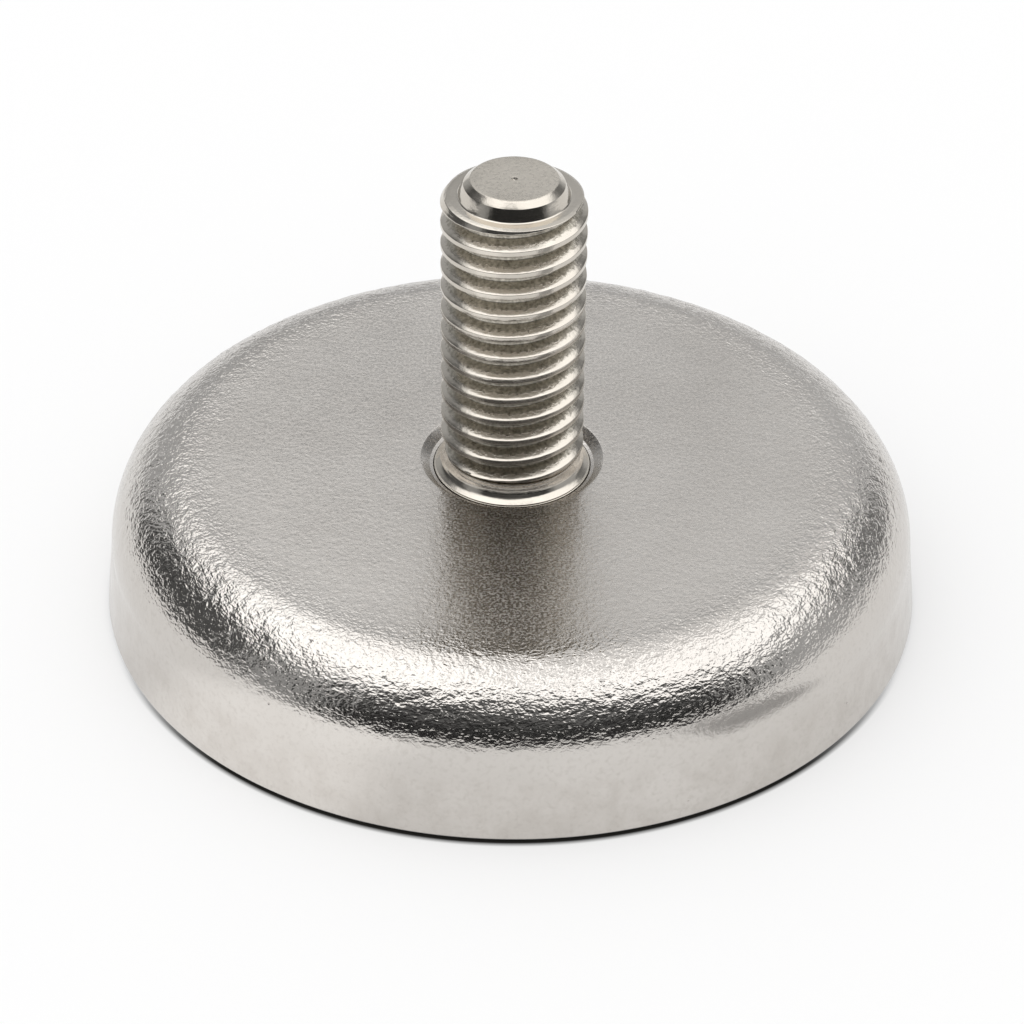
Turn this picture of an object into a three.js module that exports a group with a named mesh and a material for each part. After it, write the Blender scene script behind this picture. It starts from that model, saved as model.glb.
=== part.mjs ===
// Stud-type pot magnet: a drawn steel cup, closed at the top, that holds a neodymium ring magnet with its
// working face flush in the open end, and an M6 stud that stands up out of the middle of the cup.
//
// Units are millimetres, +Z is up. The origin is the centre of the working face, where the cup's rim
// stands on a flat surface, and the stud's axis is +Z.
//
// How it comes apart: the stud goes in from below, its round head bearing on the inside of the cup's floor;
// the magnet drops in over the head on a film of adhesive; potting resin then fills the ring between the
// magnet and the cup's wall, and the magnet's bore below the head.
import * as THREE from "three";
import { mergeVertices } from "three/addons/utils/BufferGeometryUtils.js";

// ---- Driving dimensions -------------------------------------------------------------------------------
const SEGMENTS = 64; // facets round the cup, the magnet and the resins
const STUD_SEGMENTS = 40; // facets round the stud
const FIT = 0.02; // clearance between two pieces that are bonded or pressed together

// Cup
const CUP_HEIGHT = 6.45;
const CUP_RIM_R = 17.25; // at the working face
const CUP_SHOULDER_R = 16.95; // where the side wall meets the rounded shoulder
const CUP_SHOULDER_FILLET = 3.5;
const CUP_RIM_ROUND = 0.12; // outer corner of the rim
const CUP_INNER_R = 15.25;
const CUP_FLOOR_Z = 4.35; // inside face of the closed end
const CUP_INNER_FILLET = 1.4;
const HOLE_R = 3.31;
const HOLE_CHAMFER_R = 3.84; // the hole's countersink at the outer face
const HOLE_LEDGE_R = 3.46; // the countersink's flat bottom, just below the collar's lip
const HOLE_LEDGE_Z = 6.1;

// Stud
const THREAD_PITCH = 1.0; // M6 coarse, right-hand
const THREAD_R = 2.98;
const THREAD_ROOT_R = 2.42;
const THREAD_ROOT_FLAT = 0.15;
const THREAD_ANGLE_DEG = 60;
const THREAD_START_Z = 6.96; // top of the relief groove
const THREAD_END_Z = 19.1; // the shoulder below the dog point
const THREAD_LEAD_IN = 0.22; // height of the chamfer at the collar's end
const THREAD_LEAD_OUT = 0.12; // height of the chamfer at the point's end
const THREAD_END_R = 2.88;
const CREST_Z = 7.13; // height at which a crest crosses the -Y side
const RELIEF_R = 2.42;
const COLLAR_R = 3.28;
const COLLAR_Z = 6.14;
const COLLAR_NECK_R = 2.77;
const COLLAR_NECK_Z = 6.85;
const POINT_BASE_R = 2.28;
const POINT_TOP_R = 2.06;
const POINT_BEVEL_Z = 19.65;
const STUD_TOP_Z = 19.88;
const STUD_FLAT_R = 1.78;
const CENTRE_MARK_R = 0.12;
const CENTRE_MARK_DEPTH = 0.12;
const HEAD_R = 5.5;
const HEAD_THICKNESS = 1.6;

// Magnet and resins
const MAGNET_R = 14.0;
const MAGNET_BORE_R = 6.0;
const MAGNET_LOW_Z = 0.1;
const MAGNET_THICKNESS = 4.0;
const MAGNET_CHAMFER = 0.3;
const RESIN_RECESS = 0.22; // how far the resin stops below the working face
// --------------------------------------------------------------------------------------------------------

// A body of revolution about +Z from [radius, height] pairs, going round the section with the axis on the
// left: up the outside and back down the inside.
const turned = (profile, segments = SEGMENTS) =>
  new THREE.LatheGeometry(
    profile.map(([r, z]) => new THREE.Vector2(r, z)),
    segments,
  ).rotateX(Math.PI / 2);

// Points on an arc from angle a to angle b (degrees), n steps.
const arc = (cr, cz, radius, a, b, n) =>
  Array.from({ length: n + 1 }, (_, i) => {
    const t = THREE.MathUtils.degToRad(a + ((b - a) * i) / n);
    return [cr + radius * Math.cos(t), cz + radius * Math.sin(t)];
  });

// ---- Steel cup -----------------------------------------------------------------------------------------
const cup = () => {
  const outside = [
    [CUP_RIM_R - CUP_RIM_ROUND, 0],
    ...arc(CUP_RIM_R - CUP_RIM_ROUND, CUP_RIM_ROUND, CUP_RIM_ROUND, -60, 0, 2),
    ...arc(
      CUP_SHOULDER_R - CUP_SHOULDER_FILLET,
      CUP_HEIGHT - CUP_SHOULDER_FILLET,
      CUP_SHOULDER_FILLET,
      0,
      90,
      10,
    ),
  ];
  const through = [
    [HOLE_CHAMFER_R, CUP_HEIGHT],
    [HOLE_LEDGE_R, HOLE_LEDGE_Z + 0.03],
    [HOLE_R, HOLE_LEDGE_Z],
    [HOLE_R, CUP_FLOOR_Z],
  ];
  const inside = [
    ...arc(
      CUP_INNER_R - CUP_INNER_FILLET,
      CUP_FLOOR_Z - CUP_INNER_FILLET,
      CUP_INNER_FILLET,
      90,
      0,
      5,
    ),
    [CUP_INNER_R, 0.2],
    [CUP_INNER_R + 0.2, 0],
  ];
  const profile = [...outside, ...through, ...inside];
  return turned([...profile, profile[0]]);
};

// ---- Threaded stud -------------------------------------------------------------------------------------
const rise = Math.tan(THREE.MathUtils.degToRad(THREAD_ANGLE_DEG / 2));
const flank = (THREAD_R - THREAD_ROOT_R) * rise; // height of one flank
const crestFlat = THREAD_PITCH - THREAD_ROOT_FLAT - 2 * flank;

// One pitch of the thread, as [height above the middle of the crest, radius].
const ridge = [
  [-crestFlat / 2, THREAD_R],
  [crestFlat / 2, THREAD_R],
  [crestFlat / 2 + flank, THREAD_ROOT_R],
  [crestFlat / 2 + flank + THREAD_ROOT_FLAT, THREAD_ROOT_R],
];

// Height of a crest after `turn` of a whole turn anticlockwise from -Y, seen from above.
const crestAt = (turn) => CREST_Z + THREAD_PITCH * turn;

// Radius of the endless thread in the direction `turn` and at height z.
const threadR = (turn, z) => {
  const above = z - crestAt(turn);
  const off = Math.abs(above - THREAD_PITCH * Math.round(above / THREAD_PITCH));
  return THREE.MathUtils.clamp(
    THREAD_R - (off - crestFlat / 2) / rise,
    THREAD_ROOT_R,
    THREAD_R,
  );
};

// The stud is a lathed body whose every meridian has its own section: the same number of points, but
// between the two lead-in chamfers they climb with the thread, so that its edges are true helices.
const stud = () => {
  const low = CUP_FLOOR_Z - FIT - HEAD_THICKNESS;
  const high = CUP_FLOOR_Z - FIT;
  const whole = [THREAD_START_Z + THREAD_LEAD_IN, THREAD_END_Z - THREAD_LEAD_OUT];
  const steps = 4;
  const flare = [
    [COLLAR_R - 0.22, COLLAR_Z + 0.13],
    [COLLAR_R - 0.33, COLLAR_Z + 0.22],
    [COLLAR_R - 0.43, COLLAR_Z + 0.37],
    [COLLAR_NECK_R + 0.02, COLLAR_NECK_Z - 0.15],
    [COLLAR_NECK_R, COLLAR_NECK_Z],
  ];
  const first = Math.floor((whole[0] - CREST_Z) / THREAD_PITCH) - 2;
  const last = Math.ceil((whole[1] - CREST_Z) / THREAD_PITCH) + 1;

  const section = (turn) => {
    const points = [
      [0, low],
      [HEAD_R - 0.4, low],
      [HEAD_R, low + 0.4],
      [HEAD_R, high],
      [COLLAR_R - 0.01, high],
      [COLLAR_R - 0.01, COLLAR_Z - 0.12],
      [COLLAR_R, COLLAR_Z - 0.09],
      [COLLAR_R, COLLAR_Z],
      ...flare,
      [RELIEF_R, COLLAR_NECK_Z + 0.03],
    ];
    for (let i = 0; i < steps; i++) {
      const z = THREAD_START_Z + (THREAD_LEAD_IN * i) / steps;
      const limit = RELIEF_R + ((THREAD_R - RELIEF_R) * i) / steps;
      points.push([Math.min(limit, Math.max(threadR(turn, z), RELIEF_R)), z]);
    }
    for (let k = first; k <= last; k++)
      for (const [h] of ridge) {
        const z = THREE.MathUtils.clamp(
          crestAt(turn) + k * THREAD_PITCH + h,
          whole[0],
          whole[1],
        );
        points.push([threadR(turn, z), z]);
      }
    for (let i = 1; i <= steps; i++) {
      const z = whole[1] + (THREAD_LEAD_OUT * i) / steps;
      const limit = THREAD_R - ((THREAD_R - THREAD_END_R) * i) / steps;
      points.push([Math.min(limit, threadR(turn, z)), z]);
    }
    points.push(
      [THREAD_END_R - 0.2, THREAD_END_Z + 0.03],
      [POINT_BASE_R, THREAD_END_Z + 0.04],
      [POINT_TOP_R, POINT_BEVEL_Z],
      [STUD_FLAT_R, STUD_TOP_Z],
      [CENTRE_MARK_R, STUD_TOP_Z],
      [0, STUD_TOP_Z - CENTRE_MARK_DEPTH],
    );
    return points;
  };

  const count = section(0).length;
  const g = turned(section(0), STUD_SEGMENTS);
  const position = g.getAttribute("position");
  for (let i = 0; i <= STUD_SEGMENTS; i++) {
    const turn = i / STUD_SEGMENTS;
    const angle = 2 * Math.PI * turn;
    section(turn).forEach(([r, z], j) =>
      position.setXYZ(
        i * count + j,
        r * Math.sin(angle),
        -r * Math.cos(angle),
        z,
      ),
    );
  }
  g.deleteAttribute("normal");
  g.deleteAttribute("uv");
  const merged = mergeVertices(g, 1e-3);
  merged.computeVertexNormals();
  return merged;
};

// ---- Magnet, adhesive and resins -----------------------------------------------------------------------
const magnetTop = MAGNET_LOW_Z + MAGNET_THICKNESS;

const magnet = () => {
  const c = MAGNET_CHAMFER;
  const profile = [
    [MAGNET_R - c, MAGNET_LOW_Z],
    [MAGNET_R, MAGNET_LOW_Z + c],
    [MAGNET_R, magnetTop - c],
    [MAGNET_R - c, magnetTop],
    [MAGNET_BORE_R + c, magnetTop],
    [MAGNET_BORE_R, magnetTop - c],
    [MAGNET_BORE_R, MAGNET_LOW_Z + c],
    [MAGNET_BORE_R + c, MAGNET_LOW_Z],
  ];
  return turned([...profile, profile[0]]);
};

const adhesiveFilm = () => {
  const low = magnetTop + FIT;
  const high = CUP_FLOOR_Z - FIT;
  const profile = [
    [MAGNET_R - 0.5, low],
    [MAGNET_R - 0.5, high],
    [MAGNET_BORE_R + 0.4, high],
    [MAGNET_BORE_R + 0.4, low],
  ];
  return turned([...profile, profile[0]]);
};

const resinRing = () => {
  const wall = CUP_INNER_R - FIT;
  const inner = MAGNET_R + FIT;
  const fillet = CUP_INNER_FILLET;
  const profile = [
    [(inner + wall) / 2, RESIN_RECESS + 0.08],
    [wall, RESIN_RECESS],
    ...arc(
      CUP_INNER_R - fillet,
      CUP_FLOOR_Z - fillet,
      fillet - FIT,
      0,
      78,
      4,
    ),
    [inner, CUP_FLOOR_Z - 0.1],
    [inner, RESIN_RECESS],
  ];
  return turned([...profile, profile[0]]);
};

const resinPlug = () => {
  const headLow = CUP_FLOOR_Z - FIT - HEAD_THICKNESS;
  const wall = MAGNET_BORE_R - FIT;
  return turned([
    [0, RESIN_RECESS + 0.12],
    [wall * 0.7, RESIN_RECESS + 0.08],
    [wall, RESIN_RECESS],
    [wall, magnetTop],
    [HEAD_R + 0.05, magnetTop],
    [HEAD_R + 0.05, headLow - FIT],
    [0, headLow - FIT],
  ]);
};

// ---- Assembly ------------------------------------------------------------------------------------------
const nickel = { color: 0xc9c5be, metalness: 1.0 };
const mesh = (name, geometry, material) => {
  const m = new THREE.Mesh(geometry, new THREE.MeshStandardMaterial(material));
  m.name = name;
  return m;
};

const magnetPot = new THREE.Group();
magnetPot.name = "stud_pot_magnet";

const fixedInCup = new THREE.Group(); // what is bonded into the open end
fixedInCup.add(
  mesh("ring_magnet", magnet(), {
    color: 0xb9bcc0,
    metalness: 1.0,
    roughness: 0.18,
  }),
  mesh("magnet_adhesive_film", adhesiveFilm(), {
    color: 0x9a8f6a,
    metalness: 0.0,
    roughness: 0.5,
  }),
  mesh("outer_resin_ring", resinRing(), {
    color: 0x23221f,
    metalness: 0.0,
    roughness: 0.35,
  }),
  mesh("centre_resin_plug", resinPlug(), {
    color: 0x23221f,
    metalness: 0.0,
    roughness: 0.35,
  }),
);

magnetPot.add(
  mesh("steel_cup", cup(), { ...nickel, roughness: 0.28 }),
  mesh("threaded_stud", stud(), { ...nickel, roughness: 0.22 }),
  fixedInCup,
);

export default magnetPot;
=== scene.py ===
import math

import bpy
import numpy as np
from mathutils import Matrix, Vector


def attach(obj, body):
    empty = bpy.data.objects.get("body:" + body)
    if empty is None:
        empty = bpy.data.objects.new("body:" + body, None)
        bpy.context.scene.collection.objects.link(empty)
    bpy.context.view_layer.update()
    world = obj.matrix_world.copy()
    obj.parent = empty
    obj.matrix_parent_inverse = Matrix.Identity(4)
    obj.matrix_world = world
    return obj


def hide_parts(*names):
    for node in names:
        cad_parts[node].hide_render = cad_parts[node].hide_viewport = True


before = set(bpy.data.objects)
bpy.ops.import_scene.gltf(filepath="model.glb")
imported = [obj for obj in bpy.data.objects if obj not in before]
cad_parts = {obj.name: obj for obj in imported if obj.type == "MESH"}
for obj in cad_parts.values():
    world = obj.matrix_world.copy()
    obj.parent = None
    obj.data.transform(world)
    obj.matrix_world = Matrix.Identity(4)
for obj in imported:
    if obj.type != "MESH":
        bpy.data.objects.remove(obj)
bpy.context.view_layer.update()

MM = 0.001

# ---- sizes, in millimetres, as in the CAD model --------------------------------------------------------
CUP_HEIGHT = 6.45
CUP_RIM_R = 17.25
CUP_SHOULDER_R = 16.95
CUP_FILLET = 3.5
CUP_RIM_ROUND = 0.12
CUP_INNER_R = 15.25
CUP_FLOOR_Z = 4.35
CUP_INNER_FILLET = 1.4
HOLE_R = 3.31
HOLE_CHAMFER_R = 3.84
HOLE_LEDGE_R = 3.46
HOLE_LEDGE_Z = 6.1

PITCH = 1.0
THREAD_R = 2.98
ROOT_R = 2.42
CREST_HALF = 0.1
THREAD_START_Z = 6.96
THREAD_END_Z = 19.1
LEAD_IN = 0.12
THREAD_END_R = 2.82
CREST_Z = 7.13
RELIEF_R = 2.42
COLLAR_R = 3.28
COLLAR_Z = 6.14
NECK_R = 2.77
NECK_Z = 6.85
POINT_BASE_R = 2.29
POINT_BASE_Z = 19.14
POINT_TOP_R = 2.06
POINT_BEVEL_Z = 19.65
STUD_TOP_Z = 19.88
STUD_FLAT_R = 1.78
HEAD_R = 5.5
HEAD_LOW_Z = 2.73
HEAD_HIGH_Z = 4.33

MAGNET_R = 14.0
MAGNET_BORE_R = 6.0
MAGNET_LOW_Z = 0.1
MAGNET_TOP_Z = 4.1
RESIN_LOW_Z = 0.22


# ---- noise ---------------------------------------------------------------------------------------------
def gradient_noise(p, seed):
    """Gradient noise at the points p, one cell per unit, from about -0.7 to 0.7, the same on every run."""
    table = np.random.RandomState(seed).normal(size=(512, 3))
    table /= np.linalg.norm(table, axis=1)[:, None]
    cell = np.floor(p).astype(np.int64)
    f = p - cell
    w = f * f * f * (f * (f * 6 - 15) + 10)
    total = np.zeros(len(p))
    for dx in (0, 1):
        for dy in (0, 1):
            for dz in (0, 1):
                c = cell + (dx, dy, dz)
                h = (c[:, 0] * 73856093) ^ (c[:, 1] * 19349663) ^ (c[:, 2] * 83492791)
                h = (h ^ (h >> 13)) * 1274126177
                g = table[(h ^ (h >> 16)) % 512]
                d = f - (dx, dy, dz)
                s = (
                    (w[:, 0] if dx else 1 - w[:, 0])
                    * (w[:, 1] if dy else 1 - w[:, 1])
                    * (w[:, 2] if dz else 1 - w[:, 2])
                )
                total += s * (g * d).sum(1)
    return total


# ---- turned bodies -------------------------------------------------------------------------------------
def rounded(corners):
    """A polyline from (r, z, corner radius) entries, with an arc at each corner that has a radius."""
    out = []
    n = len(corners)
    for i, (r, z, radius) in enumerate(corners):
        b = np.array([r, z], float)
        if radius <= 0 or i in (0, n - 1):
            out.append(b)
            continue
        a = np.array(corners[i - 1][:2], float)
        c = np.array(corners[i + 1][:2], float)
        u, v = a - b, c - b
        lu, lv = np.linalg.norm(u), np.linalg.norm(v)
        u, v = u / lu, v / lv
        half = math.acos(max(-1.0, min(1.0, float(u @ v)))) / 2
        reach = min(radius / math.tan(half), 0.49 * lu, 0.49 * lv)
        radius = reach * math.tan(half)
        p, q = b + u * reach, b + v * reach
        m = b + (u + v) / np.linalg.norm(u + v) * (radius / math.sin(half))
        steps = max(3, int(math.ceil(math.degrees(math.pi - 2 * half) / 12)))
        for k in range(steps + 1):
            t = k / steps
            d = (p - m) * math.sin((1 - t) * (math.pi - 2 * half)) + (
                q - m
            ) * math.sin(t * (math.pi - 2 * half))
            out.append(m + d / np.linalg.norm(d) * radius)
    return np.array(out)


def divided(line, step):
    """The polyline with each straight stretch cut into pieces no longer than step(point)."""
    out = [line[0]]
    for a, b in zip(line[:-1], line[1:]):
        n = max(1, int(math.ceil(np.linalg.norm(b - a) / step((a + b) / 2))))
        out += [a + (b - a) * (k / n) for k in range(1, n + 1)]
    return np.array(out)


def arc(cr, cz, radius, a, b, n):
    t = np.radians(np.linspace(a, b, n + 1))
    return np.stack([cr + radius * np.cos(t), cz + radius * np.sin(t)], 1)


def piece(name, verts, faces, replaces, material, smooth=True):
    mesh = bpy.data.meshes.new(name)
    mesh.vertices.add(len(verts))
    mesh.vertices.foreach_set("co", (verts * MM).astype(np.float32).ravel())
    loops = np.concatenate([np.asarray(f, np.int32) for f in faces])
    starts = np.cumsum([0] + [len(f) for f in faces[:-1]]).astype(np.int32)
    mesh.loops.add(len(loops))
    mesh.loops.foreach_set("vertex_index", loops)
    mesh.polygons.add(len(faces))
    mesh.polygons.foreach_set("loop_start", starts)
    mesh.update(calc_edges=True)
    mesh.validate()
    mesh.polygons.foreach_set("use_smooth", [smooth] * len(mesh.polygons))
    obj = bpy.data.objects.new(name, mesh)
    bpy.context.scene.collection.objects.link(obj)
    mesh.materials.append(material)
    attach(obj, "root")
    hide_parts(*replaces)
    return obj


def turned_grid(sections, closed):
    """Vertices of a body whose meridian i is sections[i], an (n, 2) array of (r, z), and the angle of each meridian.
    A closed section is a loop; an open one starts and ends on the axis. The argument closed is not used."""
    count, n = len(sections), len(sections[0])
    angle = 2 * np.pi * np.arange(count) / count
    sections = np.asarray(sections)
    verts = np.stack(
        [
            sections[:, :, 0] * np.sin(angle)[:, None],
            -sections[:, :, 0] * np.cos(angle)[:, None],
            sections[:, :, 1],
        ],
        -1,
    ).reshape(-1, 3)
    return verts, angle


def closed_faces(count, n, flip):
    i, j = np.meshgrid(np.arange(count), np.arange(n), indexing="ij")
    i2, j2 = (i + 1) % count, (j + 1) % n
    quads = np.stack([i * n + j, i2 * n + j, i2 * n + j2, i * n + j2], -1).reshape(-1, 4)
    return quads[:, ::-1] if flip else quads


def graded_rows(line, counts):
    """Vertices and faces of a closed loop of (r, z) rows, where each row has its own number of columns and a
    neighbour has the same number, four times as many, or a quarter."""
    base = np.concatenate([[0], np.cumsum(counts)])
    verts, owner, faces = [], [], []
    for j, (r, z) in enumerate(line):
        a = 2 * np.pi * np.arange(counts[j]) / counts[j]
        verts.append(np.stack([r * np.sin(a), -r * np.cos(a), np.full(counts[j], z)], 1))
        owner.append(np.full(counts[j], j))
    n = len(line)
    for j in range(n):
        k = (j + 1) % n
        ca, cb, a, b = counts[j], counts[k], base[j], base[k]
        i = np.arange(min(ca, cb))
        if ca == cb:
            f = [a + i, a + (i + 1) % ca, b + (i + 1) % cb, b + i]
        elif ca > cb:
            f = [a + (4 * i + q) % ca for q in range(5)] + [b + (i + 1) % cb, b + i]
        else:
            f = [a + i, a + (i + 1) % ca] + [b + (4 * i + q) % cb for q in (4, 3, 2, 1, 0)]
        faces += list(np.stack(f, 1))
    return np.concatenate(verts), np.concatenate(owner), faces


def loop_normals(line):
    before, after = np.roll(line, 1, 0), np.roll(line, -1, 0)
    t = after - before
    t /= np.maximum(np.linalg.norm(t, axis=1), 1e-9)[:, None]
    anticlockwise = 0.5 * np.sum(line[:, 0] * after[:, 1] - after[:, 0] * line[:, 1]) > 0
    return np.stack([t[:, 1], -t[:, 0]], 1) * (1 if anticlockwise else -1), anticlockwise


def lathe_loop(line, count, relief=None):
    """A ring-shaped body from a closed loop of (r, z). relief(points, normals, where) gives how far each point moves out."""
    n = len(line)
    before, after = np.roll(line, 1, 0), np.roll(line, -1, 0)
    t = after - before
    t /= np.maximum(np.linalg.norm(t, axis=1), 1e-9)[:, None]
    area = 0.5 * np.sum(line[:, 0] * after[:, 1] - after[:, 0] * line[:, 1])
    anticlockwise = area > 0
    normal = np.stack([t[:, 1], -t[:, 0]], 1) * (1 if anticlockwise else -1)
    verts, angle = turned_grid([line] * count, True)
    if relief is not None:
        s, c = np.sin(angle)[:, None], np.cos(angle)[:, None]
        nrm = np.stack(
            [normal[None, :, 0] * s, -normal[None, :, 0] * c, np.broadcast_to(normal[None, :, 1], (count, n))],
            -1,
        ).reshape(-1, 3)
        where = np.broadcast_to(np.arange(n), (count, n)).ravel()
        verts = verts + nrm * relief(verts, nrm, where)[:, None]
    # A loop that runs anticlockwise in (r, z) gives outward faces when its quads go round with the angle first.
    return verts, closed_faces(count, n, not anticlockwise)


# ---- materials -----------------------------------------------------------------------------------------
class Tree:
    """Short names for the shader nodes used here."""

    def __init__(self, tree):
        self.t = tree
        self.n = tree.nodes
        self.l = tree.links

    def put(self, socket, value):
        if isinstance(value, bpy.types.NodeSocket):
            self.l.new(value, socket)
        elif value is not None:
            socket.default_value = value

    def math(self, op, a, b=None, c=None):
        m = self.n.new("ShaderNodeMath")
        m.operation = op
        for s, v in zip(m.inputs, (a, b, c)):
            self.put(s, v)
        return m.outputs[0]

    def remap(self, x, a, b, c, d, kind="LINEAR"):
        m = self.n.new("ShaderNodeMapRange")
        m.interpolation_type = kind
        for s, v in zip(m.inputs, (x, a, b, c, d)):
            self.put(s, v)
        return m.outputs[0]

    def noise(self, at, scale, detail=2.0, rough=0.5, distortion=0.0, kind="FBM"):
        m = self.n.new("ShaderNodeTexNoise")
        m.noise_type = kind
        m.normalize = True
        self.put(m.inputs["Vector"], at)
        for k, v in (("Scale", scale), ("Detail", detail), ("Roughness", rough), ("Distortion", distortion)):
            m.inputs[k].default_value = v
        return m.outputs["Fac"]

    def voronoi(self, at, scale, feature="F1", out="Distance", randomness=1.0):
        m = self.n.new("ShaderNodeTexVoronoi")
        m.feature = feature
        self.put(m.inputs["Vector"], at)
        m.inputs["Scale"].default_value = scale
        m.inputs["Randomness"].default_value = randomness
        return m.outputs[out]

    def mix(self, fac, a, b):
        m = self.n.new("ShaderNodeMix")
        m.data_type = "RGBA"
        self.put(m.inputs[0], fac)
        self.put(m.inputs[6], a)
        self.put(m.inputs[7], b)
        return m.outputs[2]

    def bump(self, height, strength, distance, normal=None):
        m = self.n.new("ShaderNodeBump")
        m.inputs["Strength"].default_value = strength
        m.inputs["Distance"].default_value = distance
        self.put(m.inputs["Height"], height)
        self.put(m.inputs["Normal"], normal)
        return m.outputs[0]


def new_material(name):
    m = bpy.data.materials.new(name)
    m.use_nodes = True
    k = Tree(m.node_tree)
    k.n.clear()
    out = k.n.new("ShaderNodeOutputMaterial")
    shader = k.n.new("ShaderNodeBsdfPrincipled")
    k.l.new(shader.outputs[0], out.inputs["Surface"])
    coord = k.n.new("ShaderNodeTexCoord")
    return m, k, shader, coord.outputs["Object"]


def cup_nickel():
    """Bright nickel over drawn steel: fine peel stretched round the shoulder, a few pits, slow changes of gloss."""
    m, k, s, at = new_material("nickel_cup")
    split = k.n.new("ShaderNodeSeparateXYZ")
    k.put(split.inputs[0], at)
    x, y, z = split.outputs
    r = k.math("SQRT", k.math("ADD", k.math("MULTIPLY", x, x), k.math("MULTIPLY", y, y)))
    r = k.math("MAXIMUM", r, 0.0001)
    # Distance along the section, so that the grain can be drawn out round the part.
    sr, sz = (CUP_SHOULDER_R - CUP_FILLET) * MM, (CUP_HEIGHT - CUP_FILLET) * MM
    turn = k.math("ARCTAN2", k.math("MAXIMUM", k.math("SUBTRACT", z, sz), 0.0), k.math("MAXIMUM", k.math("SUBTRACT", r, sr), 1e-7))
    along = k.math("ADD", k.math("MINIMUM", k.math("SUBTRACT", z, sz), 0.0), k.math("MULTIPLY", turn, CUP_FILLET * MM))
    along = k.math("ADD", along, k.math("MAXIMUM", k.math("SUBTRACT", sr, r), 0.0))
    drawn = k.n.new("ShaderNodeCombineXYZ")
    k.put(drawn.inputs[0], k.math("MULTIPLY", k.math("DIVIDE", x, r), 10.0 * MM))
    k.put(drawn.inputs[1], k.math("MULTIPLY", k.math("DIVIDE", y, r), 10.0 * MM))
    k.put(drawn.inputs[2], along)
    drawn = drawn.outputs[0]
    on_shoulder = k.math(
        "MULTIPLY",
        k.remap(along, 0.5 * MM, 2.8 * MM, 0.0, 1.0, "SMOOTHSTEP"),
        k.remap(along, 4.6 * MM, 7.5 * MM, 1.0, 0.0, "SMOOTHSTEP"),
    )
    on_side = k.remap(along, -0.8 * MM, 0.2 * MM, 1.0, 0.0, "SMOOTHSTEP")
    slow = k.noise(at, 160, 3, 0.55)
    cloud = k.noise(at, 900, 3, 0.6)
    tint = k.remap(slow, 0.3, 0.7, 0.0, 1.0)
    base = k.mix(tint, (0.575, 0.545, 0.512, 1), (0.622, 0.593, 0.560, 1))
    base = k.mix(k.math("MULTIPLY", k.remap(cloud, 0.4, 0.72, 0.0, 0.6), on_side), base, (0.51, 0.475, 0.44, 1))
    speckle = k.noise(at, 4800, 2, 0.6)
    base = k.mix(k.remap(speckle, 0.5, 0.75, 0.0, 0.38), base, (0.47, 0.435, 0.40, 1))
    # Painted shade: the lowest edge of the rim, where the cup stands on the floor, is painted nearly black as a contact
    # shadow.
    rim = k.remap(z, 0.05 * MM, 0.10 * MM, 1.0, 0.0, "SMOOTHSTEP")
    rim = k.math("MULTIPLY", rim, k.math("GREATER_THAN", r, 17.0 * MM))
    base = k.mix(k.math("MULTIPLY", rim, 0.92), base, (0.02, 0.021, 0.024, 1))
    pits = k.voronoi(at, 950)
    keep = k.noise(at, 420, 1)
    pit = k.math(
        "MULTIPLY",
        k.remap(pits, 0.05, 0.09, 1.0, 0.0, "SMOOTHSTEP"),
        k.remap(keep, 0.6, 0.68, 0.0, 1.0),
    )
    k.put(s.inputs["Base Color"], k.mix(k.math("MULTIPLY", pit, 0.4), base, (0.32, 0.29, 0.26, 1)))
    s.inputs["Metallic"].default_value = 1.0
    rough = k.math("ADD", k.remap(slow, 0.3, 0.7, 0.13, 0.17), k.remap(cloud, 0.35, 0.65, -0.015, 0.02))
    rough = k.math("SUBTRACT", rough, k.math("MULTIPLY", on_shoulder, 0.045))
    # The flat top is satin: fine matt specks among the bright metal.
    on_top = k.remap(along, 4.9 * MM, 6.6 * MM, 0.0, 1.0, "SMOOTHSTEP")
    satin = k.math("MULTIPLY", k.remap(k.noise(at, 9000, 2, 0.6), 0.41, 0.69, 0.0, 1.0), on_top)
    rough = k.math("ADD", rough, k.math("MULTIPLY", satin, 0.31))
    k.put(s.inputs["Roughness"], k.math("ADD", rough, k.math("MULTIPLY", pit, 0.25)))
    worm = k.noise(drawn, 6800, 1, 0.5, 0.5)
    fold = k.math("ABSOLUTE", k.math("SUBTRACT", k.noise(drawn, 4300, 1, 0.5, 0.3), 0.5))
    fine = k.noise(drawn, 12500, 1, 0.5)
    flat = k.noise(at, 4400, 3, 0.6, 0.3)
    stretched = k.math("SUBTRACT", k.math("ADD", worm, k.math("MULTIPLY", fine, 0.45)), k.math("MULTIPLY", fold, 1.3))
    height = k.math("MULTIPLY", stretched, k.math("MULTIPLY", on_shoulder, 0.031 * MM))
    soft = k.remap(on_side, 0.0, 1.0, 0.014 * MM, 0.009 * MM)
    height = k.math("ADD", height, k.math("MULTIPLY", flat, soft))
    height = k.math("SUBTRACT", height, k.math("MULTIPLY", pit, 0.01 * MM))
    k.put(s.inputs["Normal"], k.bump(height, 1.0, 1.0))
    return m


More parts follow.
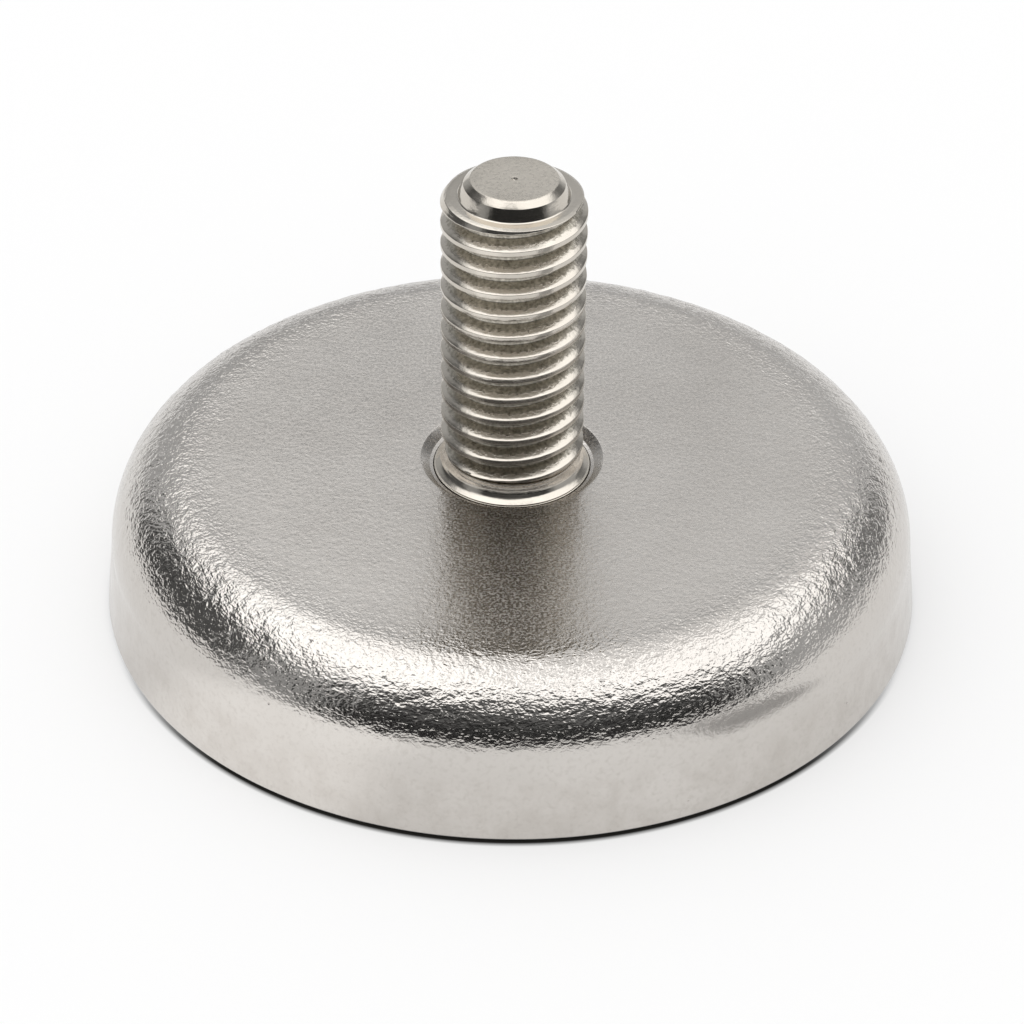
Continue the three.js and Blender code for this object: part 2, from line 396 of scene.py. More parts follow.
def stud_nickel():
    """Nickel over rolled and turned steel: bright crests, thread roots darkened with painted shade, fine lines round
    the axis.
    """
    m, k, s, at = new_material("nickel_stud")
    slow = k.noise(at, 420, 3, 0.55)
    split = k.n.new("ShaderNodeSeparateXYZ")
    k.put(split.inputs[0], at)
    x, y, z = split.outputs
    r = k.math("SQRT", k.math("ADD", k.math("MULTIPLY", x, x), k.math("MULTIPLY", y, y)))
    ring = k.n.new("ShaderNodeCombineXYZ")
    k.put(ring.inputs[0], r)
    k.put(ring.inputs[1], z)
    lines = k.noise(ring.outputs[0], 16000, 2, 0.6)
    speck = k.noise(at, 7000, 2, 0.6)
    # Painted shade: below a ragged radius the thread roots are given a darker, speckled colour.
    ragged = k.math("ADD", r, k.remap(speck, 0.25, 0.75, -0.09 * MM, 0.09 * MM))
    root = k.math(
        "MULTIPLY",
        k.remap(ragged, 2.70 * MM, 2.80 * MM, 1.0, 0.0, "SMOOTHSTEP"),
        k.math(
            "MULTIPLY",
            k.remap(z, 6.85 * MM, 7.0 * MM, 0.0, 1.0),
            k.remap(z, 18.95 * MM, 19.05 * MM, 1.0, 0.0),
        ),
    )
    tint = k.remap(slow, 0.3, 0.7, 0.0, 1.0)
    base = k.mix(tint, (0.565, 0.525, 0.465, 1), (0.61, 0.57, 0.51, 1))
    root_shade_colour = k.mix(k.remap(speck, 0.3, 0.7, 0, 1), (0.25, 0.232, 0.195, 1), (0.62, 0.58, 0.505, 1))
    k.put(s.inputs["Base Color"], k.mix(root, base, root_shade_colour))
    s.inputs["Metallic"].default_value = 1.0
    rough = k.math("ADD", k.remap(slow, 0.3, 0.7, 0.13, 0.19), k.remap(lines, 0.3, 0.7, -0.03, 0.03))
    facing = k.n.new("ShaderNodeNewGeometry")
    lean = k.n.new("ShaderNodeSeparateXYZ")
    k.put(lean.inputs[0], facing.outputs["True Normal"])
    under = k.remap(lean.outputs[2], -0.30, -0.65, 0.0, 1.0)
    under = k.math("MULTIPLY", under, k.remap(z, 6.9 * MM, 7.1 * MM, 0.0, 1.0))
    rough = k.math("ADD", rough, k.math("MULTIPLY", k.math("MAXIMUM", under, k.math("MULTIPLY", root, 0.5)), 0.26))
    # The flat end is left as it was turned, duller than the rest.
    end = k.remap(z, 19.84 * MM, 19.87 * MM, 0.0, 1.0)
    rough = k.math("ADD", rough, k.math("MULTIPLY", end, k.remap(speck, 0.35, 0.65, 0.08, 0.24)))
    k.put(s.inputs["Roughness"], rough)
    grain = k.noise(at, 5200, 2, 0.5)
    height = k.math("ADD", k.math("MULTIPLY", lines, 0.2), k.math("MULTIPLY", grain, 0.8))
    height = k.math("ADD", height, k.math("MULTIPLY", k.math("MULTIPLY", speck, root), 1.0))
    k.put(s.inputs["Normal"], k.bump(height, 1.0, 0.0000065))
    return m


def magnet_nickel():
    """The magnet's own plating: smooth, a little grey, with faint rubbed marks."""
    m, k, s, at = new_material("nickel_magnet")
    slow = k.noise(at, 180, 3, 0.6)
    rub = k.noise(at, 1500, 4, 0.65)
    k.put(s.inputs["Base Color"], k.mix(k.remap(slow, 0.3, 0.7, 0, 1), (0.585, 0.575, 0.555, 1), (0.64, 0.63, 0.61, 1)))
    s.inputs["Metallic"].default_value = 1.0
    k.put(s.inputs["Roughness"], k.math("ADD", k.remap(slow, 0.3, 0.7, 0.2, 0.28), k.remap(rub, 0.35, 0.7, -0.03, 0.06)))
    k.put(s.inputs["Normal"], k.bump(k.noise(at, 2600, 3, 0.6), 1.0, 0.000006))
    return m


def resin_black():
    """Cast epoxy: nearly black, glossy, with a slightly rippled cured skin and small bubbles."""
    m, k, s, at = new_material("resin_black")
    slow = k.noise(at, 350, 3, 0.6)
    k.put(s.inputs["Base Color"], k.mix(k.remap(slow, 0.3, 0.7, 0, 1), (0.012, 0.012, 0.011, 1), (0.03, 0.029, 0.026, 1)))
    k.put(s.inputs["Roughness"], k.remap(slow, 0.3, 0.7, 0.22, 0.36))
    bubble = k.remap(k.voronoi(at, 1300), 0.06, 0.12, 0.0, 1.0, "SMOOTHSTEP")
    height = k.math("ADD", k.noise(at, 700, 2, 0.5), k.math("MULTIPLY", bubble, 0.25))
    k.put(s.inputs["Normal"], k.bump(height, 1.0, 0.00003))
    return m


def adhesive_amber():
    m, k, s, at = new_material("adhesive_amber")
    slow = k.noise(at, 600, 3, 0.6)
    k.put(s.inputs["Base Color"], k.mix(slow, (0.33, 0.27, 0.13, 1), (0.47, 0.40, 0.22, 1)))
    k.put(s.inputs["Roughness"], k.remap(slow, 0.3, 0.7, 0.35, 0.5))
    k.put(s.inputs["Normal"], k.bump(k.noise(at, 1800, 3, 0.6), 1.0, 0.00001))
    return m


def floor_white():
    """Pale light table, half lit from within. It is clear from below and under the part, so that the working face
    can be looked at."""
    m, k, s, at = new_material("floor_white")
    s.inputs["Roughness"].default_value = 0.9
    s.inputs["Specular IOR Level"].default_value = 0.1
    split = k.n.new("ShaderNodeSeparateXYZ")
    k.put(split.inputs[0], at)
    x, y, z = split.outputs
    r = k.math("SQRT", k.math("ADD", k.math("MULTIPLY", x, x), k.math("MULTIPLY", y, y)))
    path = k.n.new("ShaderNodeLightPath")
    # Painted contact shadow: a thin ring of floor round the rim, in front, is painted nearly black for camera rays
    # only.
    contact = k.math("MULTIPLY", k.remap(r, 17.2 * MM, 17.44 * MM, 1.0, 0.0), path.outputs["Is Camera Ray"])
    contact = k.math("MULTIPLY", contact, k.remap(y, -5.0 * MM, -13.0 * MM, 0.0, 1.0, "SMOOTHSTEP"))
    pale = k.mix(k.noise(at, 6, 2, 0.5), (0.522, 0.522, 0.522, 1), (0.53, 0.53, 0.529, 1))
    # Painted reflection: only in what the plating mirrors of the table, a part in front on the left is painted brighter
    # and one close by on the right darker.
    mirrored = path.outputs["Is Glossy Ray"]
    left = k.math("DIVIDE", k.math("ADD", k.math("MULTIPLY", x, -0.66), k.math("MULTIPLY", y, -0.751)), r)
    left = k.math("MULTIPLY", k.remap(left, 0.90, 0.99, 0.0, 1.0, "SMOOTHSTEP"), mirrored)
    right = k.math("DIVIDE", k.math("ADD", k.math("MULTIPLY", x, 0.755), k.math("MULTIPLY", y, -0.656)), r)
    right = k.math("MULTIPLY", k.remap(right, 0.968, 0.994, 0.0, 1.0, "SMOOTHSTEP"), mirrored)
    right = k.math("MULTIPLY", right, k.remap(r, 21.5 * MM, 25.5 * MM, 0.0, 1.0, "SMOOTHSTEP"))
    right = k.math("MULTIPLY", right, k.remap(r, 60.0 * MM, 110.0 * MM, 1.0, 0.0, "SMOOTHSTEP"))
    shade = k.math("MAXIMUM", contact, k.math("MULTIPLY", right, 0.58))
    k.put(s.inputs["Base Color"], k.mix(shade, pale, (0.03, 0.029, 0.026, 1)))
    k.put(s.inputs["Emission Color"], (1.0, 1.0, 1.0, 1.0))
    # The table's glow, with the painted brighter reflection on the left added to it.
    glow = k.math("ADD", k.math("MULTIPLY", left, 0.22), 0.42)
    k.put(s.inputs["Emission Strength"], k.math("MULTIPLY", k.math("SUBTRACT", 1.0, shade), glow))
    under = k.math("MULTIPLY", k.math("LESS_THAN", r, 16.9 * MM), path.outputs["Is Glossy Ray"])
    under = k.math("MULTIPLY", under, k.math("LESS_THAN", path.outputs["Diffuse Depth"], 0.5))
    clear = k.n.new("ShaderNodeBsdfTransparent")
    side = k.n.new("ShaderNodeNewGeometry")
    mixer = k.n.new("ShaderNodeMixShader")
    k.put(mixer.inputs[0], k.math("MAXIMUM", side.outputs["Backfacing"], under))
    k.l.new(s.outputs[0], mixer.inputs[1])
    k.l.new(clear.outputs[0], mixer.inputs[2])
    out = next(n for n in k.n if n.type == "OUTPUT_MATERIAL")
    k.l.new(mixer.outputs[0], out.inputs["Surface"])
    return m


CUP, STUD, MAGNET, RESIN, AMBER = cup_nickel(), stud_nickel(), magnet_nickel(), resin_black(), adhesive_amber()


# ---- steel cup -----------------------------------------------------------------------------------------
def make_cup():
    fine_r = 10.6
    wall = rounded(
        [
            (HOLE_R, CUP_FLOOR_Z + 0.3, 0),
            (HOLE_R, HOLE_LEDGE_Z, 0.02),
            (HOLE_LEDGE_R, HOLE_LEDGE_Z + 0.03, 0.06),
            (HOLE_CHAMFER_R, CUP_HEIGHT, 0.035),
            (HOLE_CHAMFER_R + 0.4, CUP_HEIGHT, 0),
        ]
    )
    wall = divided(wall, lambda p: 0.14)
    shoulder_r, shoulder_z = CUP_SHOULDER_R - CUP_FILLET, CUP_HEIGHT - CUP_FILLET
    top = np.concatenate([np.linspace(HOLE_CHAMFER_R + 0.4, fine_r, 22)[1:], np.linspace(fine_r, shoulder_r, 17)[1:]])
    top = np.stack([top, np.full(len(top), CUP_HEIGHT)], 1)
    shoulder = arc(shoulder_r, shoulder_z, CUP_FILLET, 90, 0, 54)[1:]
    side = divided(
        rounded(
            [
                (CUP_SHOULDER_R, shoulder_z, 0),
                (CUP_RIM_R, 0.0, CUP_RIM_ROUND),
                (CUP_RIM_R - 1.0, 0.0, 0),
                (CUP_INNER_R + 0.16, 0.0, 0.05),
                (CUP_INNER_R, 0.16, 0.05),
                (CUP_INNER_R, CUP_FLOOR_Z - CUP_INNER_FILLET, 0),
            ]
        ),
        lambda p: 0.24 if p[1] > 0.3 and p[0] > 16 else 0.6,
    )[1:]
    inside = arc(CUP_INNER_R - CUP_INNER_FILLET, CUP_FLOOR_Z - CUP_INNER_FILLET, CUP_INNER_FILLET, 0, 90, 6)[1:]
    under = divided(
        np.array(
            [
                inside[-1],
                [HOLE_R + 0.05, CUP_FLOOR_Z],
                [HOLE_R, CUP_FLOOR_Z + 0.05],
                [HOLE_R, CUP_FLOOR_Z + 0.3],
            ]
        ),
        lambda p: 2.4,
    )[1:-1]
    line = np.concatenate([wall, top, shoulder, side, inside, under])
    r, z = line[:, 0], line[:, 1]
    outer = (z > 0.02) & (r > CUP_INNER_R + 0.5) | (z > CUP_FLOOR_Z + 0.9) & (r > HOLE_CHAMFER_R - 0.02)
    fine = outer & (r > fine_r - 0.01) | (r > CUP_RIM_R - 0.6) & (z < 0.1)
    counts = np.where(fine, 864, 216)
    verts, owner, faces = graded_rows(line, counts)
    normal, anticlockwise = loop_normals(line)
    if not anticlockwise:
        faces = [f[::-1] for f in faces]

    # How far each row lies along the section, from the bottom of the shoulder.
    turn = np.arctan2(np.maximum(z - shoulder_z, 0), np.maximum(r - shoulder_r, 1e-6))
    along = np.minimum(z - shoulder_z, 0) + CUP_FILLET * turn + np.maximum(shoulder_r - r, 0)
    # The grain is strongest round the shoulder, where the steel was stretched, and fades on the top and the side.
    weight = np.interp(
        along,
        [-2.9, 0.0, 0.9, 1.5, 2.2, 2.8, 4.6, 5.5, 6.4, 9.0],
        [0.05, 0.06, 0.14, 0.33, 0.92, 1.15, 1.0, 0.36, 0.15, 0.08],
    )
    weight = np.where(outer, weight, 0.0)[owner]
    a = np.arctan2(verts[:, 0], -verts[:, 1])
    where = np.stack([10.0 * np.sin(a), -10.0 * np.cos(a), along[owner]], 1)
    h = 0.022 * gradient_noise(where / 0.40, 11) + 0.020 * gradient_noise(where / 0.25, 12)
    h += 0.030 * (0.2 - np.abs(gradient_noise(where / 0.33 + 7.3, 14)))
    h += 0.020 * gradient_noise(where / 1.3, 13)
    h *= weight * (1 + 0.6 * gradient_noise(where / 3.0, 15))
    out = np.stack([normal[owner, 0] * np.sin(a), -normal[owner, 0] * np.cos(a), normal[owner, 1]], 1)
    return piece("cup_shell", verts + out * h[:, None], faces, ["steel_cup"], CUP)


# ---- stud ----------------------------------------------------------------------------------------------
def ridge_section():
    """One pitch of the thread as (height above the crest's middle, radius), rounded at crest and root."""
    rise = math.tan(math.radians(30))
    flank = (THREAD_R - ROOT_R) * rise
    root = PITCH - 2 * CREST_HALF - 2 * flank
    corners = [
        (-PITCH / 2, ROOT_R, 0),
        (-CREST_HALF - flank, ROOT_R, 0.12),
        (-CREST_HALF, THREAD_R, 0.035),
        (CREST_HALF, THREAD_R, 0.035),
        (CREST_HALF + flank, ROOT_R, 0.12),
        (PITCH / 2, ROOT_R, 0),
    ]
    line = rounded([(h, r, q) for h, r, q in corners])
    line = divided(line, lambda p: 0.115)
    keep = np.concatenate([[True], np.linalg.norm(np.diff(line, axis=0), axis=1) > 1e-4])
    return line[keep], root


def make_stud():
    count = 164
    ridge, _ = ridge_section()
    h, rr = ridge[:-1, 0], ridge[:-1, 1]
    whole = (THREAD_START_Z + LEAD_IN + 0.06, THREAD_END_Z - 0.25)

    def thread_r(turn, z):
        a = (z - CREST_Z - PITCH * turn) / PITCH
        return np.interp((a - np.round(a)) * PITCH, ridge[:, 0], ridge[:, 1])

    flare = rounded(
        [
            (COLLAR_R - 0.02, COLLAR_Z + 0.008, 0),
            (2.98, 6.31, 0.4),
            (2.85, 6.50, 0.45),
            (NECK_R + 0.02, NECK_Z - 0.13, 0.5),
            (NECK_R, NECK_Z, 0),
        ]
    )
    flare = divided(flare, lambda p: 0.035)
    # Turning marks left on the flare.
    mark = gradient_noise(np.stack([np.arange(len(flare)) * 0.61, np.full(len(flare), 0.4), np.zeros(len(flare))], 1), 71)
    flare[1:-1, 0] += 0.007 * mark[1:-1]
    lower = np.concatenate(
        [
            rounded(
                [
                    (0.0, HEAD_LOW_Z, 0),
                    (HEAD_R, HEAD_LOW_Z, 0.35),
                    (HEAD_R, HEAD_HIGH_Z, 0.08),
                    (COLLAR_R - 0.01, HEAD_HIGH_Z, 0.05),
                    (COLLAR_R - 0.01, COLLAR_Z - 0.12, 0),
                    (COLLAR_R, COLLAR_Z - 0.09, 0),
                    (COLLAR_R, COLLAR_Z, 0.025),
                    (COLLAR_R - 0.05, COLLAR_Z + 0.026, 0),
                ]
            ),
            flare[1:],
            rounded(
                [
                    (NECK_R, NECK_Z, 0),
                    (NECK_R - 0.015, NECK_Z + 0.02, 0),
                    (RELIEF_R + 0.05, NECK_Z + 0.035, 0.02),
                    (RELIEF_R, NECK_Z + 0.07, 0.02),
                    (RELIEF_R, THREAD_START_Z, 0),
                ]
            )[1:],
        ]
    )
    upper = rounded(
        [
            (THREAD_END_R - 0.02, THREAD_END_Z + 0.006, 0),
            (THREAD_END_R - 0.2, POINT_BASE_Z - 0.012, 0.1),
            (POINT_BASE_R + 0.03, POINT_BASE_Z - 0.006, 0.03),
            (POINT_BASE_R - 0.02, POINT_BASE_Z + 0.03, 0.03),
            (POINT_TOP_R, POINT_BEVEL_Z, 0.03),
            (STUD_FLAT_R, STUD_TOP_Z, 0.03),
            (0.13, STUD_TOP_Z, 0.015),
            (0.035, STUD_TOP_Z - 0.12, 0),
            (0.0, STUD_TOP_Z - 0.125, 0),
        ]
    )
    lower = divided(lower, lambda p: 0.25 if p[1] > 6 else 1.6)
    upper = divided(upper, lambda p: 0.12)
    first = int(math.floor((whole[0] - CREST_Z) / PITCH)) - 2
    last = int(math.ceil((whole[1] - CREST_Z) / PITCH)) + 1
    steps = 11
    sections = []
    for i in range(count):
        turn = i / count
        start_z = np.linspace(THREAD_START_Z, whole[0], steps, endpoint=False)[1:]
        limit = RELIEF_R + (THREAD_R + 0.02 - RELIEF_R) * (start_z - THREAD_START_Z) / (whole[0] - THREAD_START_Z)
        start = np.stack([np.minimum(limit, np.maximum(thread_r(turn, start_z), RELIEF_R)), start_z], 1)
        k = np.arange(first, last + 1)
        z = (CREST_Z + PITCH * turn + k[:, None] * PITCH + h[None, :]).ravel()
        z = np.clip(z, *whole)
        middle = np.stack([thread_r(turn, z), z], 1)
        end_z = np.linspace(whole[1], THREAD_END_Z, steps)[1:]
        limit = THREAD_R - (THREAD_R - THREAD_END_R) * (end_z - whole[1]) / (THREAD_END_Z - whole[1])
        end = np.stack([np.minimum(limit, thread_r(turn, end_z)), end_z], 1)
        sections.append(np.concatenate([lower, start, middle, end, upper]))
    sections = np.array(sections)
    n = sections.shape[1]
    verts, angle = turned_grid(sections, False)
    # The seam: after a whole turn the threaded rows have climbed one ridge.
    lo = len(lower) + steps - 1
    hi = lo + (last - first + 1) * len(h)
    nxt = np.arange(n)
    nxt[lo:hi] = np.minimum(np.arange(lo, hi) + len(h), hi - 1)
    ids = np.arange(count)[:, None] * n + np.arange(n)[None, :]
    after = np.roll(ids, -1, 0)
    after[-1] = ids[0][nxt]

    # Wear and rolling marks: the crests are very slightly uneven.
    radius = np.hypot(verts[:, 0], verts[:, 1])
    crest = np.clip((radius - 2.6) / 0.35, 0, 1) * (verts[:, 2] > 7.0) * (verts[:, 2] < 19.0)
    dr = crest * (0.010 * gradient_noise(verts / 0.55, 21) + 0.008 * gradient_noise(verts / 0.22, 22))
    dr += 0.004 * gradient_noise(verts / 0.4, 23) * (radius > 0.5) * (radius < HEAD_R - 0.5)
    dr += 0.016 * gradient_noise(verts / 0.5, 24) * (radius > 1.9) * (radius < 2.35) * (verts[:, 2] > 19.12)
    verts[:, :2] *= (1 + dr / np.maximum(radius, 0.3))[:, None]

    # Points that fall together become one.
    key = np.round(verts * 4000).astype(np.int64)
    _, keep, same = np.unique(key, axis=0, return_index=True, return_inverse=True)
    same = same.reshape(-1)
    quads = np.stack([ids[:, :-1], after[:, :-1], after[:, 1:], ids[:, 1:]], -1).reshape(-1, 4)
    quads = same[quads]
    faces = []
    for q in quads:
        f = [v for i, v in enumerate(q) if v != q[i - 1]]
        if len(f) >= 3 and len(set(f)) == len(f):
            faces.append(f)
    return piece("threaded_stud_fine", verts[keep], faces, ["threaded_stud"], STUD)


# ---- what fills the open end ---------------------------------------------------------------------------
def make_magnet():
    c = 0.28
    line = rounded(
        [
            (10.0, MAGNET_LOW_Z, 0),
            (MAGNET_R, MAGNET_LOW_Z, c),
            (MAGNET_R, MAGNET_TOP_Z, c),
            (MAGNET_BORE_R, MAGNET_TOP_Z, c),
            (MAGNET_BORE_R, MAGNET_LOW_Z, c),
            (9.9, MAGNET_LOW_Z, 0),
        ]
    )
    line = divided(line, lambda p: 0.35 if p[1] < 0.2 else 1.0)

    def relief(p, n, where):
        return 0.004 * gradient_noise(p / 0.9, 31) + 0.003 * gradient_noise(p / 2.6, 32)

    verts, faces = lathe_loop(line, 240, relief)
    return piece("magnet_ring", verts, list(faces), ["ring_magnet"], MAGNET)


def make_resin_ring():
    inner, wall = MAGNET_R + 0.02, CUP_INNER_R - 0.02
    t = np.linspace(0, 1, 15)
    # The cured face sags between the two metals it clings to.
    face = np.stack([wall + (inner - wall) * t, RESIN_LOW_Z + 0.10 * np.sin(np.pi * t) ** 0.8], 1)[::-1]
    back = rounded(
        [
            (wall, RESIN_LOW_Z, 0),
            (wall, CUP_FLOOR_Z - CUP_INNER_FILLET, 0),
            *[(r, z, 0) for r, z in arc(CUP_INNER_R - CUP_INNER_FILLET, CUP_FLOOR_Z - CUP_INNER_FILLET, CUP_INNER_FILLET - 0.03, 0, 78, 8)[1:]],
            (inner, CUP_FLOOR_Z - 0.1, 0.05),
            (inner, RESIN_LOW_Z, 0),
        ]
    )
    line = divided(np.concatenate([face, back[1:-1]]), lambda p: 0.6)

    def relief(p, n, where):
        low = np.clip((0.6 - p[:, 2]) / 0.3, 0, 1)
        edge = np.clip(np.minimum(p[:, 0] ** 2 + p[:, 1] ** 2, 1e9) ** 0.5 - inner, 0, 1) * np.clip(wall - np.hypot(p[:, 0], p[:, 1]), 0, 1)
        return low * edge * (0.10 * gradient_noise(p / 1.6, 41) + 0.05 * gradient_noise(p / 0.6, 42))

    verts, faces = lathe_loop(line, 300, relief)
    return piece("resin_ring", verts, list(faces), ["outer_resin_ring"], RESIN)


def make_resin_plug():
    wall = MAGNET_BORE_R - 0.02
    count = 160
    rim = np.linspace(0, wall, 30)
    face = np.stack([rim, RESIN_LOW_Z + 0.16 * (1 - (rim / wall) ** 4)], 1)
    line = np.concatenate(
        [
            face,
            rounded(
                [
                    (wall, RESIN_LOW_Z, 0),
                    (wall, MAGNET_TOP_Z, 0.04),
                    (HEAD_R + 0.05, MAGNET_TOP_Z, 0.04),
                    (HEAD_R + 0.05, HEAD_LOW_Z - 0.03, 0.03),
                    (0.0, HEAD_LOW_Z - 0.03, 0),
                ]
            )[1:],
        ]
    )
    line = divided(line, lambda p: 0.5)
    n = len(line)
    verts, _ = turned_grid([line] * count, False)
    low = np.clip((0.8 - verts[:, 2]) / 0.3, 0, 1) * np.clip((wall - np.hypot(verts[:, 0], verts[:, 1])) / 0.6, 0, 1)
    verts[:, 2] += low * (0.07 * gradient_noise(verts / 2.2, 51) + 0.03 * gradient_noise(verts / 0.8, 52))
    verts[np.arange(count) * n] = verts[0]
    ids = np.arange(count)[:, None] * n + np.arange(n)[None, :]
    ids[:, 0], ids[:, -1] = ids[0, 0], ids[0, -1]
    after = np.roll(ids, -1, 0)
    quads = np.stack([ids[:, :-1], after[:, :-1], after[:, 1:], ids[:, 1:]], -1).reshape(-1, 4)
    faces = []
    for q in quads:
        f = [v for i, v in enumerate(q) if v != q[i - 1]]
        if len(f) >= 3:
            faces.append(f)
    used = np.unique(np.concatenate([np.array(f) for f in faces]))
    index = {v: i for i, v in enumerate(used)}
    faces = [[index[v] for v in f] for f in faces]
    return piece("resin_plug", verts[used], faces, ["centre_resin_plug"], RESIN)


def make_film():
    low, high = MAGNET_TOP_Z + 0.02, CUP_FLOOR_Z - 0.02
    line = rounded(
        [
            (10.0, low, 0),
            (MAGNET_R - 0.5, low, 0.05),
            (MAGNET_R - 0.5, high, 0.05),
            (MAGNET_BORE_R + 0.4, high, 0.05),
            (MAGNET_BORE_R + 0.4, low, 0.05),
            (9.9, low, 0),
        ]
    )
    line = divided(line, lambda p: 1.0)

    def relief(p, n, where):
        radial = np.abs(n[:, 2]) < 0.9
        return np.where(radial, 0.12 * gradient_noise(p / 1.7, 61), 0.0)

    verts, faces = lathe_loop(line, 160, relief)
    return piece("adhesive_film", verts, list(faces), ["magnet_adhesive_film"], AMBER)


make_cup()
make_stud()
make_magnet()
make_resin_ring()
make_resin_plug()
make_film()


# ---- floor ---------------------------------------------------------------------------------------------
def make_floor():
    # A wide sheet, a hair below the rim, with an opening that the rim covers.
    rings = [15.9 * MM, 17.0 * MM, 17.6 * MM, 18.2 * MM, 19 * MM, 24 * MM, 40 * MM, 90 * MM, 0.3, 1.2, 6.0]
    n = 96
    verts, faces = [], []
    for r in rings:
        for i in range(n):
            a = 2 * math.pi * i / n
            verts.append((r * math.cos(a), r * math.sin(a), -0.00014))
    for j in range(len(rings) - 1):
        for i in range(n):
            i2 = (i + 1) % n
            faces.append((j * n + i, (j + 1) * n + i, (j + 1) * n + i2, j * n + i2))
    mesh = bpy.data.meshes.new("floor")
    mesh.from_pydata(verts, [], faces)
    mesh.update()
    obj = bpy.data.objects.new("floor", mesh)
    bpy.context.scene.collection.objects.link(obj)
    mesh.materials.append(floor_white())
    return obj


make_floor()


# ---- light ---------------------------------------------------------------------------------------------
# A wide soft source overhead, light grey walls behind, a brighter panel each side, dark space round the camera.
# Soft panels of the room: (middle in degrees from +Y towards +X, half width, brightness).
DARK = (0.02, 0.13)
PANELS = [(12.0, 58.0, 0.585), (88.0, 22.0, 0.50), (-114.0, 9.0, 0.46), (-78.0, 14.0, 0.12), (50.0, 6.0, 0.20)]
OVERHEAD = 1.72
GROUND = 0.985
DOME = 1.06
LAMP = 0.05


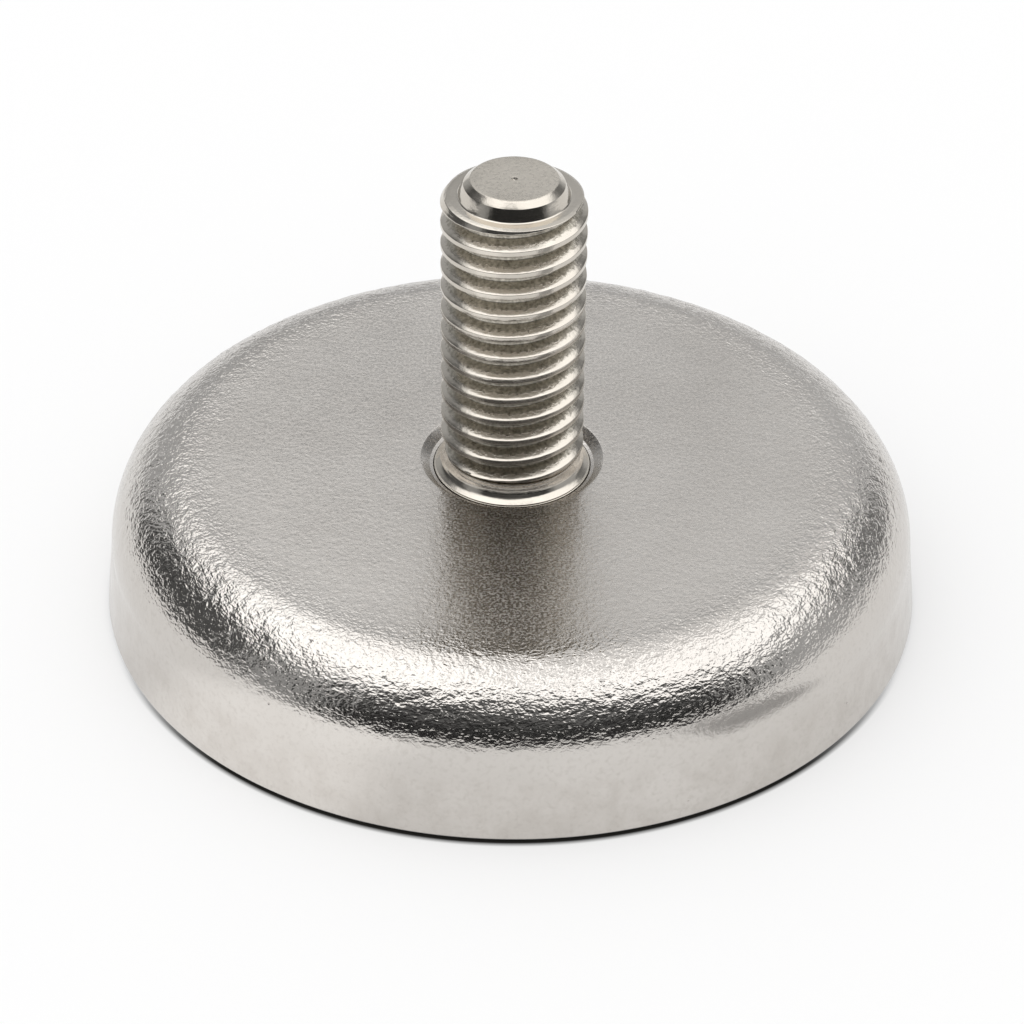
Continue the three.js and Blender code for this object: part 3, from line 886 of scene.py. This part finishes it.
def make_world():
    world = bpy.data.worlds.new("studio")
    bpy.context.scene.world = world
    world.use_nodes = True
    k = Tree(world.node_tree)
    k.n.clear()
    coord = k.n.new("ShaderNodeTexCoord")
    split = k.n.new("ShaderNodeSeparateXYZ")
    k.l.new(coord.outputs["Generated"], split.inputs[0])
    x, y, z = split.outputs
    flat = k.math("SQRT", k.math("ADD", k.math("MULTIPLY", x, x), k.math("MULTIPLY", y, y)))
    flat = k.math("MAXIMUM", flat, 0.001)
    fx, fy = k.math("DIVIDE", x, flat), k.math("DIVIDE", y, flat)
    el = k.math("MULTIPLY", k.math("ARCTAN2", z, flat), 180 / math.pi)
    # The unlit space round the camera is darkest near the floor.
    room = k.remap(el, 14.0, 50.0, *DARK)
    for middle, half, level in PANELS:
        c, t = math.cos(math.radians(middle)), math.sin(math.radians(middle))
        near = k.math("ADD", k.math("MULTIPLY", fy, c), k.math("MULTIPLY", fx, t))
        edge0, edge1 = math.cos(math.radians(half + 11)), math.cos(math.radians(max(half - 11, 0)))
        mask = k.remap(near, edge0, edge1, 0.0, 1.0, "SMOOTHSTEP")
        room = k.math("ADD", room, k.math("MULTIPLY", mask, k.math("SUBTRACT", level, room)))
    # The panels fade a little towards the floor.
    room = k.math("MULTIPLY", room, k.remap(el, 32.0, 38.5, 0.92, 1.34))
    # The wall behind is a little brighter towards the right.
    room = k.math("MULTIPLY", room, k.remap(fx, -0.10, 0.10, 0.94, 1.12, "SMOOTHSTEP"))
    # The overhead source reaches lower behind the part than in front of it.
    behind, before = k.math("MAXIMUM", fy, 0.0), k.math("MINIMUM", fy, 0.0)
    centre = k.math("ADD", k.math("MULTIPLY", k.math("MULTIPLY", behind, behind), -6.0), 45.0)
    centre = k.math("ADD", centre, k.math("MULTIPLY", k.math("MULTIPLY", before, before), 22.0))
    centre = k.math("SUBTRACT", centre, k.math("MULTIPLY", fx, 5.0))
    over = k.remap(el, k.math("SUBTRACT", centre, 6.0), k.math("ADD", centre, 6.0), 0, 1, "SMOOTHSTEP")
    # One part of it, behind and to the right of the zenith, is dimmer.
    side = k.math("SUBTRACT", x, k.math("MAXIMUM", k.math("SUBTRACT", y, 0.45), 0.0))
    dim = k.math("MULTIPLY", k.remap(x, -0.08, 0.0, 0, 1, "SMOOTHSTEP"), k.remap(side, 0.21, 0.30, 1, 0, "SMOOTHSTEP"))
    dim = k.math("MULTIPLY", dim, k.remap(y, -0.10, 0.0, 0, 1, "SMOOTHSTEP"))
    source = k.math("SUBTRACT", OVERHEAD, k.math("MULTIPLY", dim, 0.80))
    bright = k.n.new("ShaderNodeCombineXYZ")
    for q in range(3):
        k.put(bright.inputs[q], source)
    grey = k.n.new("ShaderNodeCombineXYZ")
    k.put(grey.inputs[0], k.math("MULTIPLY", room, 0.985))
    k.put(grey.inputs[1], k.math("MULTIPLY", room, 1.0))
    k.put(grey.inputs[2], k.math("MULTIPLY", room, 1.012))
    sky = k.mix(over, grey.outputs[0], bright.outputs[0])
    low = k.remap(el, 2.0, 6.0, 1.0, 0.0, "SMOOTHSTEP")
    sky = k.mix(low, sky, (GROUND, GROUND, GROUND, 1))
    # The matt floor is lit by a soft dome that is a little brighter on the left.
    dome = k.math("MULTIPLY", k.math("SUBTRACT", 1.0, k.math("MULTIPLY", x, 0.22)), DOME)
    tone = k.n.new("ShaderNodeCombineXYZ")
    for q in range(3):
        k.put(tone.inputs[q], dome)
    path = k.n.new("ShaderNodeLightPath")
    sky = k.mix(k.math("GREATER_THAN", path.outputs["Diffuse Depth"], 0.5), sky, tone.outputs[0])
    sky = k.mix(path.outputs["Is Camera Ray"], sky, (GROUND, GROUND, GROUND, 1))
    back = k.n.new("ShaderNodeBackground")
    k.put(back.inputs["Color"], sky)
    back.inputs["Strength"].default_value = 1.0
    out = k.n.new("ShaderNodeOutputWorld")
    k.l.new(back.outputs[0], out.inputs["Surface"])


make_world()


def make_lamp():
    lamp = bpy.data.lights.new("softbox", "AREA")
    lamp.shape = "RECTANGLE"
    lamp.size, lamp.size_y = 0.34, 0.26
    lamp.energy = LAMP
    obj = bpy.data.objects.new("softbox", lamp)
    obj.location = (-0.02, 0.03, 0.36)
    obj.rotation_euler = (0.0, 0.0, 0.0)
    obj.visible_camera = False
    bpy.context.scene.collection.objects.link(obj)


make_lamp()


# ---- camera --------------------------------------------------------------------------------------------
def make_camera():
    elevation, roll = math.radians(35.42), math.radians(0.55)
    target = Vector((0.026, 0.0, 3.553)) * MM
    back = Vector((0.0, -math.cos(elevation), math.sin(elevation)))
    cam = bpy.data.cameras.new("camera")
    cam.sensor_width = 36.0
    cam.lens = 3588.3 / 1024 * 36.0
    cam.clip_start, cam.clip_end = 0.01, 20.0
    obj = bpy.data.objects.new("camera", cam)
    bpy.context.scene.collection.objects.link(obj)
    turn = (-back).to_track_quat("-Z", "Y").to_matrix().to_4x4() @ Matrix.Rotation(roll, 4, "Z")
    obj.matrix_world = Matrix.Translation(target + back * 152.64 * MM) @ turn
    bpy.context.scene.camera = obj


make_camera()

view = bpy.context.scene.view_settings
view.view_transform = "Standard"
view.look = "None"
view.exposure = 0.0
view.gamma = 1.0

bpy.context.view_layer.update()
